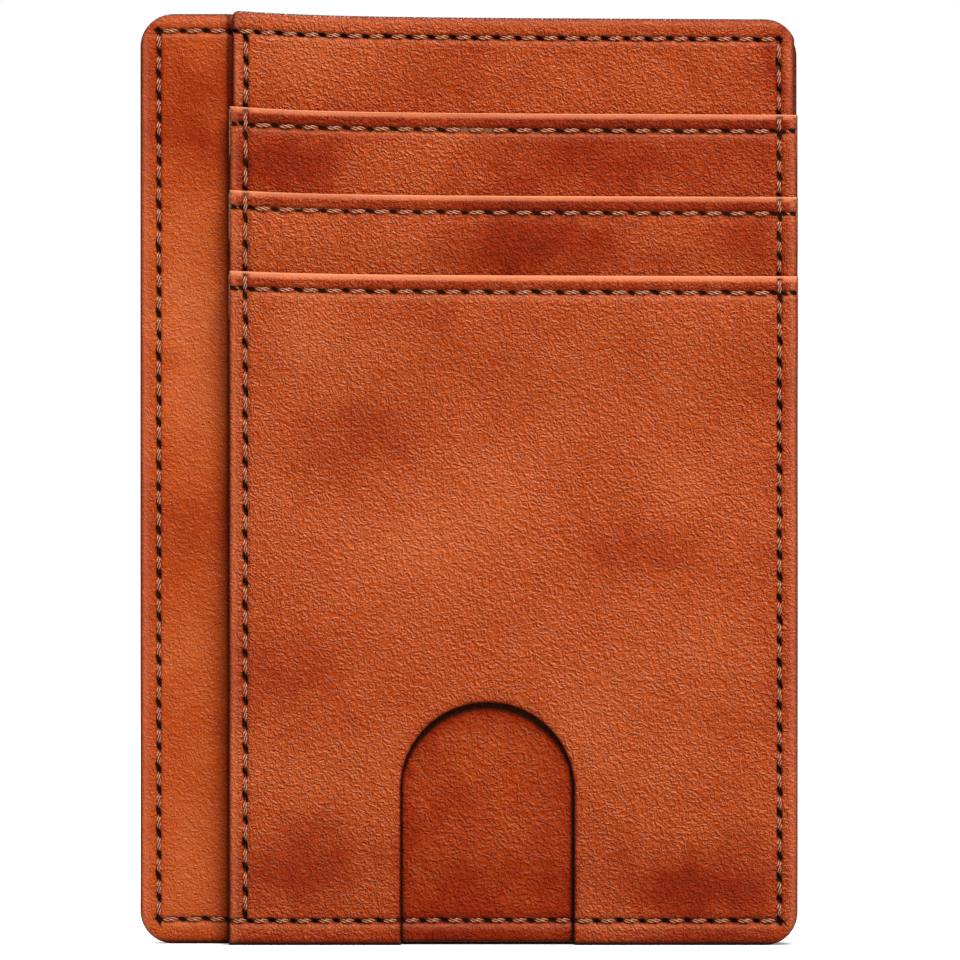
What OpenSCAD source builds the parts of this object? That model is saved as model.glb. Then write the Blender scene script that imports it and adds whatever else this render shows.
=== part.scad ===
// Slim card wallet: a front and a back stack of leather, fabric and film layers, sewn together
// round three sides, with a cash pocket between them that opens along the left side.
// X runs across the width, Z up the height and Y through the thickness. The front faces -Y.
// The wallet stands on its bottom edge, with the origin under the middle of its box.

/* [Outline] */
// Width of the wallet
wallet_w = 80; // [76:1:84]
// Height of the wallet
wallet_h = 113; // [111:1:118]
// Radius of the four outer corners
corner_r = 4; // [3:0.5:6]
// Width of the back stack left showing beside the front stack
side_strip_w = 10.9; // [9:0.1:13]

/* [Card slots] */
// Height of the front pocket's lip above the bottom edge
pocket_lip = 81.5; // [80:0.5:83]
// Height of the middle slot's lip
middle_lip = 91.2; // [90:0.1:93]
// Height of the upper slot's lip
upper_lip = 101.3; // [100:0.1:103]
// Depth of the hem that is turned back behind each lip
hem_depth = 5; // [4:0.5:5]
// How far each slot strip runs down behind the lip below it
strip_tuck = 5.4; // [5:0.1:6]
// Height of the seam that a card in the middle slot stands on
middle_seam = 12.6; // [12:0.1:14]
// Height of the seam that a card in the upper slot stands on
upper_seam = 22.7; // [21:0.1:24]

/* [Thumb notch] */
// Radius of the notch's round top, which is half its width
notch_r = 10.5; // [9:0.5:11]
// Distance of the notch's middle from the wallet's middle
notch_x = 2.3; // [0:0.1:4]
// Height of the notch's top above the bottom edge
notch_top = 29.5; // [26:0.5:32]
// Height of the facing seen through the notch
notch_facing_h = 40; // [36:1:44]

/* [Window] */
// Width of the window in the back pocket
window_w = 48; // [44:1:50]
// Lower edge of the window
window_bottom = 9; // [8:1:14]
// Upper edge of the window
window_top = 70; // [64:1:71]
// Radius of the window's corners
window_r = 4; // [2:0.5:6]

/* [Layers] */
// Leather of the front pocket and the window frame
panel_t = 0.8; // [0.7:0.05:1]
// Leather of the slot strips
strip_t = 0.6; // [0.5:0.05:0.8]
// Leather of the front and back backing panels
backing_t = 0.7; // [0.6:0.05:0.9]
// Leather of the cash pocket's facing
cash_facing_t = 0.6; // [0.5:0.05:0.8]
// Split leather behind the thumb notch
notch_facing_t = 0.5; // [0.4:0.05:0.6]
// Lining fabric
lining_t = 0.15; // [0.1:0.05:0.2]
// Stiffener board
stiffener_t = 0.2; // [0.15:0.05:0.3]
// Clear window film
film_t = 0.25; // [0.2:0.05:0.3]
// Room left between neighbouring layers
gap = 0.05; // [0.04:0.01:0.08]
// Least opening of the cash pocket
cash_gap = 0.3; // [0.2:0.05:0.5]

/* [Stitching] */
// Length of one stitch of the inner rows, hole to hole
stitch_pitch = 2.9; // [2.6:0.1:3.2]
// Length of one stitch of the outer seam
seam_pitch = 2.65; // [2.5:0.05:2.9]
// Distance of the outer seam from the edge
seam_inset = 2.25; // [2:0.05:2.5]
// Distance of each lip's stitching below the lip
lip_seam = 2.05; // [1.9:0.05:2.4]
// Thickness of the sewing thread
thread_d = 0.36; // [0.3:0.02:0.4]

/* [Hidden] */
$fn = 48;

// Colours
tan_leather = [0.72, 0.30, 0.13];
split_leather = [0.60, 0.20, 0.08];
lining_fabric = [0.24, 0.15, 0.10];
board = [0.62, 0.55, 0.44];
clear_film = [0.80, 0.86, 0.90, 0.35];
thread_brown = [0.42, 0.20, 0.10];

// Side to side
half_w = wallet_w / 2;
stack_left = side_strip_w - half_w;         // left edge of the front stack
end_set = 0.35;                             // the strips' ends stand this far past the backing
backing_left = stack_left + end_set;
backing_right = half_w - end_set;
flap_w = 4.5;                               // width of the backing panels' turned edges
lining_inset = 0.5;                         // the linings stop this far inside the edges
top_set = 0.4;                              // the back stack's top is this much lower
back_top = wallet_h - top_set;

// Levels of each stack, counted outwards from its backing panel's outer face
lining_step = lining_t + gap;
flap_t = lining_step;                       // the hems are pared to the lining's thickness
upper_y = gap + lining_step;
middle_low = upper_y + lining_step;
middle_high = middle_low + strip_t + gap;
pocket_high = middle_low + strip_t + gap + flap_t;
pocket_mid = middle_low;
pocket_low = middle_low + notch_facing_t + gap;
pocket_foot = gap + notch_facing_t + gap;
frame_mid = middle_low + film_t + gap;
frame_foot = gap + film_t + gap;

// Levels inwards from each backing panel's inner face
flap_depth = 2 * gap + stiffener_t + lining_t;
front_depth = cash_gap + flap_depth - gap + backing_t;
back_depth = cash_facing_t + gap + flap_depth + backing_t - gap;
cash_plane = (front_depth - back_depth) / 2; // front face of the cash facing

// Heights at which sheets climb over the edge of a sheet below them
ramp = 4;
upper_foot = middle_lip - strip_tuck;
middle_foot = pocket_lip - strip_tuck;
seam_allowance = 1.6;
seam_foot = middle_seam - seam_allowance - ramp;

// Inner faces of the sheets as [height, level] points
upper_path = [[upper_foot, upper_y], [upper_lip, upper_y]];
middle_path = [[middle_foot, middle_low], [upper_foot - ramp, middle_low],
               [upper_foot, middle_high], [middle_lip, middle_high]];
notch_facing_path = [[0.4, gap], [seam_foot, gap], [seam_foot + ramp, middle_low],
                     [notch_facing_h, middle_low]];
pocket_path = [[0, pocket_foot], [seam_foot, pocket_foot], [seam_foot + ramp, pocket_low],
               [notch_facing_h, pocket_low], [notch_facing_h + ramp, pocket_mid],
               [middle_foot - ramp, pocket_mid], [middle_foot, pocket_high],
               [pocket_lip, pocket_high]];
film_path = [[0.8, gap], [seam_foot, gap], [seam_foot + ramp, middle_low],
             [middle_foot - 1.5, middle_low]];
frame_path = [[0, frame_foot], [seam_foot, frame_foot], [seam_foot + ramp, frame_mid],
              [middle_foot - ramp, frame_mid], [middle_foot, pocket_high],
              [pocket_lip, pocket_high]];
upper_lining_path = [[upper_seam - seam_allowance, gap], [upper_lip - hem_depth - gap, gap]];
middle_lining_path = [[middle_seam - seam_allowance, upper_y],
                      [upper_foot - ramp, upper_y],
                      [upper_foot, middle_high - lining_step],
                      [middle_lip - hem_depth - gap, middle_high - lining_step]];

// Stitching
groove_w = 0.6;
groove_d = 0.36;
thread_sink = 0.05;                         // the thread's axis lies this far below the surface
stitch_fill = 0.8;                          // share of the pitch that the thread shows
$pitch = stitch_pitch;                      // stitch length of the row being sewn
crossing = 0.7;                             // rows stop this far from a row that crosses them
seam_x = half_w - seam_inset;
seam_low = seam_inset + 0.5;
seam_high = back_top - seam_inset + 0.2;
edge_seam_x = stack_left + 2;               // row along the cash pocket's mouth
end_reach = 0.5;                            // lip stitches stop this far inside the edges
facing_w = 25;                              // width of the cash facing
facing_seam_x = facing_w - half_w - 1.2;
slot_seam_half = 29;                        // half the length of a slot's bottom seam
slot_middle = (edge_seam_x + seam_x) / 2;
fine_d = 0.2;                               // thread of the hidden slot seams
window_seam = 2;                            // distance of the window's stitching from its edge

// Lays a piece on the front stack: y = 0 is the backing's outer face and +y is outwards
module on_front()
    translate([0, cash_plane - front_depth, 0]) mirror([0, 1, 0]) children();

// Lays a piece on the back stack in the same way
module on_back()
    translate([0, cash_plane + back_depth, 0]) children();

// A section in the YZ plane, drawn out from x0 to x1
module draw_out(section, x0, x1)
    translate([x0, 0, 0]) rotate([90, 0, 90]) linear_extrude(x1 - x0) polygon(section);

// Section of a plain sheet whose inner face follows a path
function plain_section(path, t) =
    concat([for (p = path) [p[1], p[0]]],
           [for (i = [len(path) - 1 : -1 : 0]) [path[i][1] + t, path[i][0]]]);

// Section of a sheet whose top edge is folded over and turned down behind it
function hemmed_section(path, t) =
    let (last = len(path) - 1,
         lip = path[last][0],
         y = path[last][1],
         r = (t + flap_t) / 2)
    concat([for (i = [0 : last - 1]) [path[i][1], path[i][0]]],
           [[y, lip - hem_depth], [y - flap_t, lip - hem_depth]],
           [for (a = [180 : -22.5 : 0]) [y - flap_t + r + r * cos(a), lip - r + r * sin(a)]],
           [for (i = [last - 1 : -1 : 0]) [path[i][1] + t, path[i][0]]]);

module rounded_rect(low, high, r) {
    translate([low[0] + r, low[1]]) square([high[0] - low[0] - 2 * r, high[1] - low[1]]);
    translate([low[0], low[1] + r]) square([high[0] - low[0], high[1] - low[1] - 2 * r]);
    for (x = [low[0] + r, high[0] - r], z = [low[1] + r, high[1] - r])
        translate([x, z]) circle(r);
}

// A flat shape in the XZ plane, given thickness from y0 outwards to y1
module plate(y0, y1)
    translate([0, y1, 0]) rotate([90, 0, 0]) linear_extrude(y1 - y0) children();

// The wallet's rounded outline, deep enough to trim any sheet
module outline(top)
    plate(-10, 10) rounded_rect([-half_w, 0], [half_w, top], corner_r);

// Groove for a row of stitches along X, in a face at level y
module row_groove(x0, x1, z, y)
    translate([x0, y - groove_d, z - groove_w / 2]) cube([x1 - x0, groove_d + 1, groove_w]);

// Groove for a column of stitches, which follows the outer face of a sheet
module column_groove(x, path, t, z0, z1)
    intersection() {
        draw_out(plain_section([for (p = concat([[-5, path[0][1]]], path,
                                                [[200, path[len(path) - 1][1]]]))
                                   [p[0], p[1] + t - groove_d]], groove_d + 1),
                 x - groove_w / 2, x + groove_w / 2);
        translate([x - 1, -5, z0]) cube([2, 20, z1 - z0]);
    }

// One stitch: a barrel of thread along the line from p to q
module stitch(p, q, d = thread_d) {
    v = q - p;
    reach = norm(v);
    body = stitch_fill * reach;
    r = d / 2;
    translate(p + v * (1 - stitch_fill) / 2)
        rotate([0, acos(v[2] / reach), atan2(v[1], v[0])])
            rotate_extrude()
                polygon([[0, 0], [r * 0.6, 0], [r, r * 0.6], [r, body - r * 0.6],
                         [r * 0.6, body], [0, body]]);
}

// A straight run of stitches from p to q
module stitch_run(p, q, d = thread_d) {
    n = max(1, round(norm(q - p) / $pitch));
    for (i = [0 : n - 1])
        stitch(p + (q - p) * i / n, p + (q - p) * (i + 1) / n, d);
}

// A row along X on a face at level y
module stitch_row(x0, x1, z, y)
    stitch_run([x0, y - thread_sink, z], [x1, y - thread_sink, z]);

// A column that follows the outer face of a sheet
module stitch_column(x, z0, z1, path, t) {
    n = max(1, round((z1 - z0) / $pitch));
    step = (z1 - z0) / n;
    for (i = [0 : n - 1])
        let (a = z0 + i * step, b = a + step)
            stitch([x, lookup(a, path) + t - thread_sink, a],
                   [x, lookup(b, path) + t - thread_sink, b]);
}

// Grooves and threads of a lip: between the two columns, with a short stitch outside each
module lip_groove(left, lip, y)
    row_groove(left - 1, half_w + 1, lip - lip_seam, y);

module lip_thread(left, column, lip, y) {
    z = lip - lip_seam;
    stitch_row(column + crossing, seam_x - crossing, z, y);
    stitch_row(left + end_reach, column - crossing / 2, z, y);
    stitch_row(seam_x + crossing / 2, half_w - end_reach, z, y);
}

// Turned edge of a backing panel: a flat ring behind its rim
module turned_edge(x0, x1, top)
    difference() {
        translate([x0, -backing_t - flap_depth + gap, 0])
            cube([x1 - x0, flap_depth - gap + backing_t / 2, top]);
        translate([x0 + flap_w, -5, flap_w])
            cube([x1 - x0 - 2 * flap_w, 5 - backing_t, top - 2 * flap_w]);
    }

// Sheet that fills the inside of a turned edge, from level y0 to y1
module inner_sheet(x0, x1, top, y0, t)
    translate([x0 + flap_w + gap, y0, flap_w + gap])
        cube([x1 - x0 - 2 * (flap_w + gap), t, top - 2 * (flap_w + gap)]);

// Fine stitches of a slot's bottom seam, sunk through the lining into what is behind it
module slot_seam(x, z, y)
    stitch_run([x - slot_seam_half, y, z], [x + slot_seam_half, y, z], fine_d);

// Slits that the bottom seam's stitches lie in
module slot_seam_slits(x, z, y) {
    n = round(2 * slot_seam_half / stitch_pitch);
    step = 2 * slot_seam_half / n;
    for (i = [0 : n - 1])
        translate([x - slot_seam_half + (i + 0.05) * step, y - fine_d, z - fine_d])
            cube([0.9 * step, 2 * fine_d, 2 * fine_d]);
}

// ---- front stack ----

// Big card pocket, with the open thumb notch at its foot
module front_pocket_panel()
    color(tan_leather) on_front() difference() {
        intersection() {
            draw_out(hemmed_section(pocket_path, panel_t), stack_left, half_w);
            outline(wallet_h);
        }
        plate(-1, 5) {
            translate([notch_x, notch_top - notch_r]) circle(notch_r);
            translate([notch_x - notch_r, -1]) square([2 * notch_r, notch_top - notch_r + 1]);
        }
        lip_groove(stack_left, pocket_lip, pocket_high + panel_t);
        column_groove(seam_x, pocket_path, panel_t, seam_low - groove_w / 2, pocket_lip + 1);
        column_groove(edge_seam_x, pocket_path, panel_t, -1, pocket_lip + 1);
        row_groove(stack_left - 1, seam_x, seam_low, pocket_foot + panel_t);
    }

module front_middle_strip()
    color(tan_leather) on_front() difference() {
        draw_out(hemmed_section(middle_path, strip_t), stack_left, half_w);
        lip_groove(stack_left, middle_lip, middle_high + strip_t);
        column_groove(seam_x, middle_path, strip_t, pocket_lip, middle_lip + 1);
        column_groove(edge_seam_x, middle_path, strip_t, pocket_lip, middle_lip + 1);
    }

module front_upper_strip()
    color(tan_leather) on_front() difference() {
        draw_out(hemmed_section(upper_path, strip_t), stack_left, half_w);
        lip_groove(stack_left, upper_lip, upper_y + strip_t);
        column_groove(seam_x, upper_path, strip_t, middle_lip, upper_lip + 1);
        column_groove(edge_seam_x, upper_path, strip_t, middle_lip, upper_lip + 1);
    }

// Full panel behind all the front slots, with its edges turned
module front_backing_panel()
    color(tan_leather) on_front() difference() {
        intersection() {
            union() {
                translate([backing_left, -backing_t, 0])
                    cube([backing_right - backing_left, backing_t, wallet_h]);
                turned_edge(backing_left, backing_right, wallet_h);
            }
            outline(wallet_h);
        }
        row_groove(backing_left - 1, seam_x, seam_high, 0);
        column_groove(seam_x, [[0, -backing_t], [wallet_h, -backing_t]], backing_t,
                      upper_lip, seam_high + groove_w / 2);
        column_groove(edge_seam_x, [[0, -backing_t], [wallet_h, -backing_t]], backing_t,
                      upper_lip, wallet_h + 1);
        slot_seam_slits(slot_middle, upper_seam, 0);
    }

// Split leather behind the notch: the front card slides over it
module notch_facing()
    color(split_leather) on_front() difference() {
        intersection() {
            draw_out(plain_section(notch_facing_path, notch_facing_t), backing_left,
                     backing_right);
            outline(wallet_h);
        }
        row_groove(notch_x - notch_r - 1, notch_x + notch_r + 1, seam_low,
                   gap + notch_facing_t);
    }

module middle_slot_lining(x0, x1, x_mid)
    difference() {
        draw_out(plain_section(middle_lining_path, lining_t), x0, x1);
        slot_seam_slits(x_mid, middle_seam, upper_y);
    }

module upper_slot_lining(x0, x1, x_mid)
    difference() {
        draw_out(plain_section(upper_lining_path, lining_t), x0, x1);
        slot_seam_slits(x_mid, upper_seam, gap);
    }

module front_middle_slot_lining()
    color(lining_fabric) on_front()
        middle_slot_lining(backing_left + lining_inset, backing_right - lining_inset,
                           slot_middle);

module front_upper_slot_lining()
    color(lining_fabric) on_front()
        upper_slot_lining(backing_left + lining_inset, backing_right - lining_inset,
                          slot_middle);

module front_stiffener()
    color(board) on_front()
        inner_sheet(backing_left, backing_right, wallet_h, -backing_t - gap - stiffener_t,
                    stiffener_t);

module front_cash_lining()
    color(lining_fabric) on_front()
        inner_sheet(backing_left, backing_right, wallet_h, -backing_t - flap_depth + gap,
                    lining_t);

// ---- between the stacks ----

// Strip along the three sewn sides that fills them out to the cash pocket's thickness
module seam_filler()
    color(board)
        intersection() {
            difference() {
                plate(cash_plane - cash_gap + gap, cash_plane + cash_facing_t)
                    translate([facing_w - half_w + gap, 0.4])
                        square([wallet_w - facing_w - end_set - 2 * gap, back_top - 0.8]);
                plate(-5, 5)
                    translate([facing_w - half_w - 1, flap_w - 1])
                        square([wallet_w - facing_w + 1 - flap_w + 1,
                                back_top - 2 * flap_w + 2]);
            }
            outline(back_top);
        }

// Leather that faces the cash pocket's mouth and shows beside the front stack
module cash_facing()
    color(tan_leather) difference() {
        intersection() {
            plate(cash_plane, cash_plane + cash_facing_t)
                translate([-half_w, 0]) square([facing_w, back_top]);
            outline(back_top);
        }
        mirror([0, 1, 0]) {
            row_groove(-seam_x, stack_left + 2, seam_low, -cash_plane);
            row_groove(-seam_x, stack_left + 2, seam_high, -cash_plane);
            translate([-seam_x - groove_w / 2, -cash_plane - groove_d,
                       seam_low - groove_w / 2])
                cube([groove_w, 1, seam_high - seam_low + groove_w]);
            translate([facing_seam_x - groove_w / 2, -cash_plane - groove_d, flap_w])
                cube([groove_w, 1, back_top - 2 * flap_w]);
        }
    }

// ---- back stack ----

module back_cash_lining()
    color(lining_fabric) on_back()
        inner_sheet(-half_w, half_w, back_top, -backing_t - flap_depth + gap, lining_t);

module back_stiffener()
    color(board) on_back()
        inner_sheet(-half_w, half_w, back_top, -backing_t - gap - stiffener_t, stiffener_t);

module back_backing_panel()
    color(tan_leather) on_back() difference() {
        intersection() {
            union() {
                translate([-half_w, -backing_t, 0]) cube([wallet_w, backing_t, back_top]);
                turned_edge(-half_w, half_w, back_top);
            }
            outline(back_top);
        }
        row_groove(-seam_x, seam_x, seam_high, 0);
        for (x = [-seam_x, seam_x])
            column_groove(x, [[0, -backing_t], [wallet_h, -backing_t]], backing_t,
                          upper_lip, seam_high + groove_w / 2);
        slot_seam_slits(0, upper_seam, 0);
    }

module back_middle_slot_lining()
    color(lining_fabric) on_back()
        middle_slot_lining(lining_inset - half_w, half_w - lining_inset, 0);

module back_upper_slot_lining()
    color(lining_fabric) on_back()
        upper_slot_lining(lining_inset - half_w, half_w - lining_inset, 0);

module back_strip(path, lip, lip_below)
    difference() {
        draw_out(hemmed_section(path, strip_t), -half_w, half_w);
        lip_groove(-half_w, lip, lookup(lip, path) + strip_t);
        for (x = [-seam_x, seam_x])
            column_groove(x, path, strip_t, lip_below, lip + 1);
    }

module back_middle_strip()
    color(tan_leather) on_back() back_strip(middle_path, middle_lip, pocket_lip);

module back_upper_strip()
    color(tan_leather) on_back() back_strip(upper_path, upper_lip, middle_lip);

module id_window_film()
    color(clear_film) on_back() intersection() {
        draw_out(plain_section(film_path, film_t), 1 - half_w, half_w - 1);
        outline(wallet_h);
    }

// Pocket panel with the window cut through it
module id_frame_panel()
    color(tan_leather) on_back() difference() {
        intersection() {
            draw_out(hemmed_section(frame_path, panel_t), -half_w, half_w);
            outline(wallet_h);
        }
        plate(-1, 5)
            rounded_rect([-window_w / 2, window_bottom], [window_w / 2, window_top], window_r);
        lip_groove(-half_w, pocket_lip, pocket_high + panel_t);
        for (x = [-seam_x, seam_x])
            column_groove(x, frame_path, panel_t, seam_low - groove_w / 2, pocket_lip + 1);
        row_groove(-seam_x, seam_x, seam_low, frame_foot + panel_t);
        for (x = [-1, 1] * (window_w / 2 + window_seam))
            column_groove(x, frame_path, panel_t, window_bottom - window_seam - groove_w / 2,
                          window_top + window_seam + groove_w / 2);
        for (z = [window_bottom - window_seam, window_top + window_seam])
            row_groove(-window_w / 2 - window_seam, window_w / 2 + window_seam, z,
                       lookup(z, frame_path) + panel_t);
    }

// ---- thread ----

// The outer seam, on the front stack, on the cash facing and on the back stack
module perimeter_thread()
    color(thread_brown) let ($pitch = seam_pitch) {
        on_front() {
            stitch_row(backing_left, seam_x, seam_high, 0);
            stitch_column(seam_x, upper_lip, seam_high, [[0, 0], [wallet_h, 0]], 0);
            stitch_column(seam_x, middle_lip, upper_lip, upper_path, strip_t);
            stitch_column(seam_x, pocket_lip, middle_lip, middle_path, strip_t);
            stitch_column(seam_x, seam_low, pocket_lip, pocket_path, panel_t);
            stitch_row(notch_x + notch_r, seam_x, seam_low, pocket_foot + panel_t);
            stitch_row(notch_x - notch_r, notch_x + notch_r, seam_low, gap + notch_facing_t);
            stitch_row(stack_left, notch_x - notch_r, seam_low, pocket_foot + panel_t);
        }
        translate([0, cash_plane, 0]) mirror([0, 1, 0]) {
            stitch_row(-seam_x, stack_left, seam_high, 0);
            stitch_row(-seam_x, stack_left, seam_low, 0);
            stitch_run([-seam_x, -thread_sink, seam_low], [-seam_x, -thread_sink, seam_high]);
        }
        on_back() {
            stitch_row(-seam_x, seam_x, seam_high, 0);
            stitch_row(-seam_x, seam_x, seam_low, frame_foot + panel_t);
            for (x = [-seam_x, seam_x]) {
                stitch_column(x, upper_lip, seam_high, [[0, 0], [wallet_h, 0]], 0);
                stitch_column(x, middle_lip, upper_lip, upper_path, strip_t);
                stitch_column(x, pocket_lip, middle_lip, middle_path, strip_t);
                stitch_column(x, seam_low, pocket_lip, frame_path, panel_t);
            }
        }
    }

// The column along the cash pocket's mouth, through the front stack only
module front_edge_thread()
    color(thread_brown) on_front() {
        stitch_column(edge_seam_x, upper_lip, seam_high - crossing, [[0, 0], [wallet_h, 0]], 0);
        stitch_column(edge_seam_x, middle_lip, upper_lip, upper_path, strip_t);
        stitch_column(edge_seam_x, pocket_lip, middle_lip, middle_path, strip_t);
        stitch_column(edge_seam_x, seam_low + crossing, pocket_lip, pocket_path, panel_t);
    }

module front_pocket_lip_thread()
    color(thread_brown) on_front()
        lip_thread(stack_left, edge_seam_x, pocket_lip, pocket_high + panel_t);

module front_middle_lip_thread()
    color(thread_brown) on_front()
        lip_thread(stack_left, edge_seam_x, middle_lip, middle_high + strip_t);

module front_upper_lip_thread()
    color(thread_brown) on_front()
        lip_thread(stack_left, edge_seam_x, upper_lip, upper_y + strip_t);

module id_frame_lip_thread()
    color(thread_brown) on_back()
        lip_thread(-half_w, -seam_x, pocket_lip, pocket_high + panel_t);

module back_middle_lip_thread()
    color(thread_brown) on_back()
        lip_thread(-half_w, -seam_x, middle_lip, middle_high + strip_t);

module back_upper_lip_thread()
    color(thread_brown) on_back()
        lip_thread(-half_w, -seam_x, upper_lip, upper_y + strip_t);

// Bottom seams of the inner slots, which the cards stand on
module front_middle_slot_thread()
    color(thread_brown) on_front() slot_seam(slot_middle, middle_seam, upper_y + fine_d / 4);

module front_upper_slot_thread()
    color(thread_brown) on_front() slot_seam(slot_middle, upper_seam, fine_d / 2);

module back_middle_slot_thread()
    color(thread_brown) on_back() slot_seam(0, middle_seam, upper_y + fine_d / 4);

module back_upper_slot_thread()
    color(thread_brown) on_back() slot_seam(0, upper_seam, fine_d / 2);

// Column that joins the cash facing to the lining behind it
module cash_facing_thread()
    color(thread_brown) translate([0, cash_plane, 0]) mirror([0, 1, 0])
        stitch_run([facing_seam_x, -thread_sink, flap_w + 1],
                   [facing_seam_x, -thread_sink, back_top - flap_w - 1]);

// Stitching round the window, which holds the film to the frame
module id_window_thread()
    color(thread_brown) on_back() {
        x = window_w / 2 + window_seam;
        low = window_bottom - window_seam;
        high = window_top + window_seam;
        for (z = [low, high])
            stitch_row(-x, x, z, lookup(z, frame_path) + panel_t);
        for (side = [-1, 1])
            stitch_column(side * x, low, high, frame_path, panel_t);
    }

front_pocket_panel();
front_middle_strip();
front_upper_strip();
front_backing_panel();
notch_facing();
front_middle_slot_lining();
front_upper_slot_lining();
front_stiffener();
front_cash_lining();
seam_filler();
cash_facing();
back_cash_lining();
back_stiffener();
back_backing_panel();
back_upper_slot_lining();
back_middle_slot_lining();
back_upper_strip();
back_middle_strip();
id_window_film();
id_frame_panel();
perimeter_thread();
front_edge_thread();
front_pocket_lip_thread();
front_middle_lip_thread();
front_upper_lip_thread();
front_middle_slot_thread();
front_upper_slot_thread();
cash_facing_thread();
id_frame_lip_thread();
back_middle_lip_thread();
back_upper_lip_thread();
back_middle_slot_thread();
back_upper_slot_thread();
id_window_thread();
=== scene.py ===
import math

import bmesh
import bpy
import numpy as np
from mathutils import Matrix, Vector


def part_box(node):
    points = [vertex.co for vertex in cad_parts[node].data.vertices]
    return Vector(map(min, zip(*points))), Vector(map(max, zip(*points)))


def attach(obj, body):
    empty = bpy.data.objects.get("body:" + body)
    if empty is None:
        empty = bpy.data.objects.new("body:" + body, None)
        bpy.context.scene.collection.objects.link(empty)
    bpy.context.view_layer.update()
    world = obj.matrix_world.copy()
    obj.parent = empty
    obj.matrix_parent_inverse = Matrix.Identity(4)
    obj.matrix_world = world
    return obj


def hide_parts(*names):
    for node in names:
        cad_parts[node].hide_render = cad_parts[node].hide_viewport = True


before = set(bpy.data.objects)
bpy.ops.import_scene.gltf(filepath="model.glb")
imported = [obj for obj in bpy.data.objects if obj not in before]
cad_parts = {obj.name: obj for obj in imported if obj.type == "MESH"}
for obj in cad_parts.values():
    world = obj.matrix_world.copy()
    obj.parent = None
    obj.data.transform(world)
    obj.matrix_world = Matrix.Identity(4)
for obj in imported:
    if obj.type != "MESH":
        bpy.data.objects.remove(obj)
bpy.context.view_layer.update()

# ---- Camera, floor and light ----
# The finished wallet stands on its bottom edge on a plain pale floor, seen square from the front.
# Soft boxes light it from above, front and back, and a pale room fills in the shadows.
MM = 0.001
LENS = 240
CAMERA_PLACE = (1.4 * MM, -780 * MM, 56.5 * MM)
FLOOR_R = 3.0
ROOM_FILL = 0.22         # light that the pale room gives, where the camera sees plain white
scene = bpy.context.scene
scene.view_settings.view_transform = "Standard"

camera = bpy.data.objects.new("camera", bpy.data.cameras.new("camera"))
camera.data.lens = LENS
camera.location = CAMERA_PLACE
camera.rotation_euler = (math.pi / 2, 0, 0)
scene.collection.objects.link(camera)
scene.camera = camera


def wire(tree, kind, inputs=None, **options):
    """Adds one shader node, sets its options, and fills or links its inputs."""
    made = tree.nodes.new("ShaderNode" + kind)
    for option, value in options.items():
        setattr(made, option, value)
    for socket, value in (inputs or {}).items():
        if isinstance(value, bpy.types.NodeSocket):
            tree.links.new(value, made.inputs[socket])
        else:
            made.inputs[socket].default_value = value
    return made


def plain_material(name, colour, roughness):
    """A new material, its node tree and its surface shader."""
    material = bpy.data.materials.new(name)
    material.use_nodes = True
    surface = material.node_tree.nodes["Principled BSDF"]
    surface.inputs["Base Color"].default_value = (*colour, 1)
    surface.inputs["Roughness"].default_value = roughness
    return material, material.node_tree, surface


def add_piece(name, bm, material):
    """Makes a finished mesh into a piece of the scene."""
    mesh = bpy.data.meshes.new(name)
    bm.to_mesh(mesh)
    bm.free()
    mesh.shade_smooth()
    mesh.set_sharp_from_angle(angle=math.radians(55))
    mesh.materials.append(material)
    piece = bpy.data.objects.new(name, mesh)
    scene.collection.objects.link(piece)
    return piece


floor_white, tree, surface = plain_material("floor_white", (0.86, 0.86, 0.86), 0.8)
from_wallet = wire(tree, "VectorMath", {0: wire(tree, "TexCoord").outputs["Object"]},
                   operation="LENGTH").outputs["Value"]
far_glow = wire(tree, "MapRange", {"Value": from_wallet, "From Min": 0.05, "From Max": 0.9,
                                   "To Min": 0.25, "To Max": 1.0}).outputs[0]
seen = wire(tree, "LightPath").outputs["Is Camera Ray"]
glow = wire(tree, "Math", {0: far_glow, 1: seen}, operation="MULTIPLY").outputs[0]
surface.inputs["Emission Color"].default_value = (1, 1, 1, 1)
tree.links.new(glow, surface.inputs["Emission Strength"])
bm = bmesh.new()
bmesh.ops.create_circle(bm, cap_ends=True, radius=FLOOR_R, segments=96)
floor = add_piece("floor", bm, floor_white)

room = bpy.data.worlds.new("studio")
room.use_nodes = True
scene.world = room
tree = room.node_tree
backdrop_or_fill = wire(tree, "MapRange", {
    "Value": wire(tree, "LightPath").outputs["Is Camera Ray"],
    "To Min": ROOM_FILL,
    "To Max": 1.0,
})
room_light = tree.nodes["Background"]
room_light.inputs["Color"].default_value = (1, 1, 1, 1)
tree.links.new(backdrop_or_fill.outputs[0], room_light.inputs["Strength"])

SOFT_BOXES = (           # place and size in metres, and watts
    ("key_light", (0.22, -0.42, 0.62), 0.25, 5.1),
    ("top_light", (0.05, -0.12, 0.75), 0.20, 2.6),
    ("back_light", (-0.25, 0.50, 0.58), 0.30, 6.0),
)
for name, place, size, watts in SOFT_BOXES:
    light = bpy.data.lights.new(name, "AREA")
    light.size = size
    light.energy = watts
    lamp = bpy.data.objects.new(name, light)
    lamp.location = place
    aim = Vector((0, 0, 0.06)) - Vector(place)
    lamp.rotation_euler = aim.to_track_quat("-Z", "Y").to_euler()
    scene.collection.objects.link(lamp)

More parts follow.
